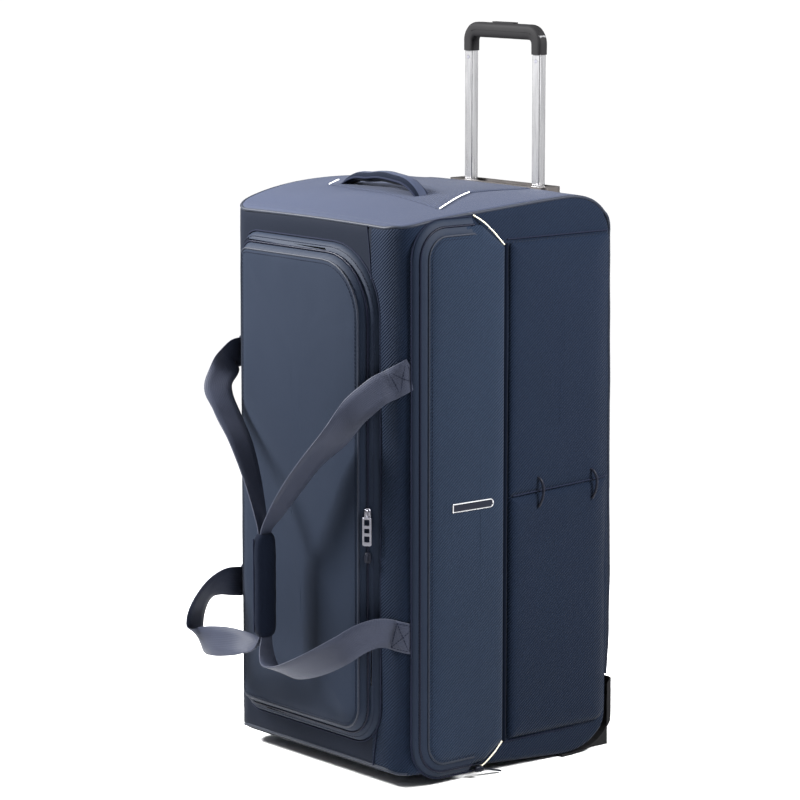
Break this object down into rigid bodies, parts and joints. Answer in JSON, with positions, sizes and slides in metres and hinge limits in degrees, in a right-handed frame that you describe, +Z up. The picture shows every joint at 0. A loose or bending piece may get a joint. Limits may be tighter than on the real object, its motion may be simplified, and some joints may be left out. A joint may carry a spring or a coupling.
{
  "type": "rolling duffel bag",
  "caption": "Soft rolling duffel on end: telescopic trolley, two corner wheels, hinged zip lid, web handles with shared wrap, zipped side pocket.",
  "frame": {"origin": "centre of the whole object's footprint box, on the floor", "axes": "+Z up along the bag's length, -Y out of the lid face, +Y out of the trolley face, +X out of the pocket side"},
  "size_m": [0.3834, 0.481, 0.9916],
  "materials": {
    "side_twill": "navy fine-ribbed polyester twill",
    "smooth_weave": "navy smooth close-woven polyester",
    "binding": "dark navy binding, piping and zip tape",
    "padded_wrap": "very dark padded woven grip cloth",
    "webbing": "navy violet flat webbing",
    "black_plastic": "moulded black plastic, fine grain",
    "tube_aluminium": "brushed lengthwise",
    "bezel_metal": "grey-brown satin metal",
    "steel": "bright plated steel",
    "zip_enamel": "dark enamelled zip hardware",
    "tyre_rubber": "matt black wheel rubber"
  },
  "bodies": {
    "bag": {"top_end_panel": "smooth_weave", "bottom_end_panel": "smooth_weave", "lid_border": "side_twill", "right_side_panel": "side_twill", "left_side_panel": "side_twill", "back_panel": "side_twill", "inner_board": "black_plastic", "top_end_piping": "binding", "bottom_end_piping": "binding", "lid_zip_chain": "binding", "near_anchor_upper": "webbing", "near_anchor_lower": "webbing", "far_anchor_upper": "webbing", "far_anchor_lower": "webbing", "top_carry_handle": "padded_wrap", "trolley_bezel": "bezel_metal", "guide_tube_left": "tube_aluminium", "guide_tube_right": "tube_aluminium", "bottom_bracket": "black_plastic", "wheel_housing_left": "black_plastic", "wheel_housing_right": "black_plastic", "wheel_axle_left": "steel", "wheel_axle_right": "steel", "front_foot_left": "black_plastic", "front_foot_right": "black_plastic", "pocket_gusset": "binding", "pocket_zip_chain": "binding", "slip_pocket_panel": "side_twill", "rear_upper_panel": "side_twill", "lash_loop_front": "binding", "lash_loop_rear": "binding"},
    "trolley": {"trolley_grip": "black_plastic", "inner_tube_left": "tube_aluminium", "inner_tube_right": "tube_aluminium", "lock_shoe_left": "black_plastic", "lock_shoe_right": "black_plastic", "tube_rivet_left": "steel", "tube_rivet_right": "steel"},
    "button": {"release_button": "black_plastic", "release_rod_left": "steel", "release_rod_right": "steel"},
    "lock_pin_left": {"lock_pin_left": "steel"},
    "lock_pin_right": {"lock_pin_right": "steel"},
    "wheel_left": {"wheel_tyre_left": "tyre_rubber", "wheel_hub_left": "black_plastic", "wheel_bearing_left": "steel"},
    "wheel_right": {"wheel_tyre_right": "tyre_rubber", "wheel_hub_right": "black_plastic", "wheel_bearing_right": "steel"},
    "lid": {"lid_panel": "smooth_weave"},
    "near_handle": {"near_handle_strap": "webbing"},
    "far_handle": {"far_handle_strap": "webbing", "handle_grip_wrap": "padded_wrap"},
    "pocket_door": {"pocket_door": "side_twill", "door_badge": "bezel_metal"},
    "slider_upper": {"lid_slider_upper": "steel"},
    "pull_upper": {"lid_pull_tab": "steel"},
    "slider_lower": {"lid_slider_lower": "zip_enamel"},
    "pocket_slider": {"pocket_slider": "zip_enamel"},
    "pocket_pull": {"pocket_pull": "zip_enamel"}
  },
  "joints": [
    {"name": "trolley_slide", "type": "slide", "parent": "bag", "child": "trolley", "axis": [0, 0, 1], "range_m": [-0.218, 0]},
    {"name": "button_press", "type": "slide", "parent": "trolley", "child": "button", "axis": [0, 0, -1], "range_m": [0, 0.0035], "stiffness_N_per_m": 400, "springref_m": -0.001},
    {"name": "lock_pin_left_slide", "type": "slide", "parent": "trolley", "child": "lock_pin_left", "axis": [0, -1, 0], "range_m": [0, 0.002]},
    {"name": "lock_pin_right_slide", "type": "slide", "parent": "trolley", "child": "lock_pin_right", "axis": [0, -1, 0], "range_m": [0, 0.002]},
    {"name": "wheel_left_spin", "type": "hinge", "parent": "bag", "child": "wheel_left", "pos_m": [-0.15744, 0.2085, 0.032], "axis": [1, 0, 0], "continuous": true},
    {"name": "wheel_right_spin", "type": "hinge", "parent": "bag", "child": "wheel_right", "pos_m": [0.14256, 0.2085, 0.032], "axis": [1, 0, 0], "continuous": true},
    {"name": "lid_open", "type": "hinge", "parent": "bag", "child": "lid", "pos_m": [-0.15544, -0.1468, 0], "axis": [0, 0, -1], "range_deg": [0, 95]},
    {"name": "far_handle_swing", "type": "hinge", "parent": "bag", "child": "far_handle", "pos_m": [-0.16494, -0.1505, 0.38], "axis": [0, 0, -1], "range_deg": [0, 95], "deforming": ["far_handle_strap"]},
    {"name": "near_handle_swing", "type": "hinge", "parent": "bag", "child": "near_handle", "pos_m": [0.15756, -0.1455, 0.38], "axis": [0, 0, 1], "range_deg": [0, 100], "deforming": ["near_handle_strap"]},
    {"name": "pocket_open", "type": "hinge", "parent": "bag", "child": "pocket_door", "pos_m": [0.18356, 0.0365, 0.38], "axis": [0, 0, 1], "range_deg": [0, 80]},
    {"name": "lid_slider_upper_slide", "type": "slide", "parent": "bag", "child": "slider_upper", "axis": [0, 0, 1], "range_m": [-0.004, 0.145]},
    {"name": "lid_slider_lower_slide", "type": "slide", "parent": "bag", "child": "slider_lower", "axis": [0, 0, 1], "range_m": [-0.065, 0.004]},
    {"name": "lid_pull_swing", "type": "hinge", "parent": "slider_upper", "child": "pull_upper", "pos_m": [0.13836, -0.155, 0.3593], "axis": [0, -1, 0], "range_deg": [0, 90]},
    {"name": "pocket_slider_slide", "type": "slide", "parent": "bag", "child": "pocket_slider", "axis": [0, 1, 0], "range_m": [-0.05, 0.028]},
    {"name": "pocket_pull_swing", "type": "hinge", "parent": "pocket_slider", "child": "pocket_pull", "pos_m": [0.17806, -0.0069, 0.0117], "axis": [1, 0, 0], "range_deg": [0, 18]}
  ],
  "couplings": [
    {"joint": "far_handle_swing", "follows": "lid_open", "ratio": 1},
    {"joint": "lock_pin_left_slide", "follows": "button_press", "ratio": 0.5},
    {"joint": "lock_pin_right_slide", "follows": "button_press", "ratio": 0.5}
  ]
}
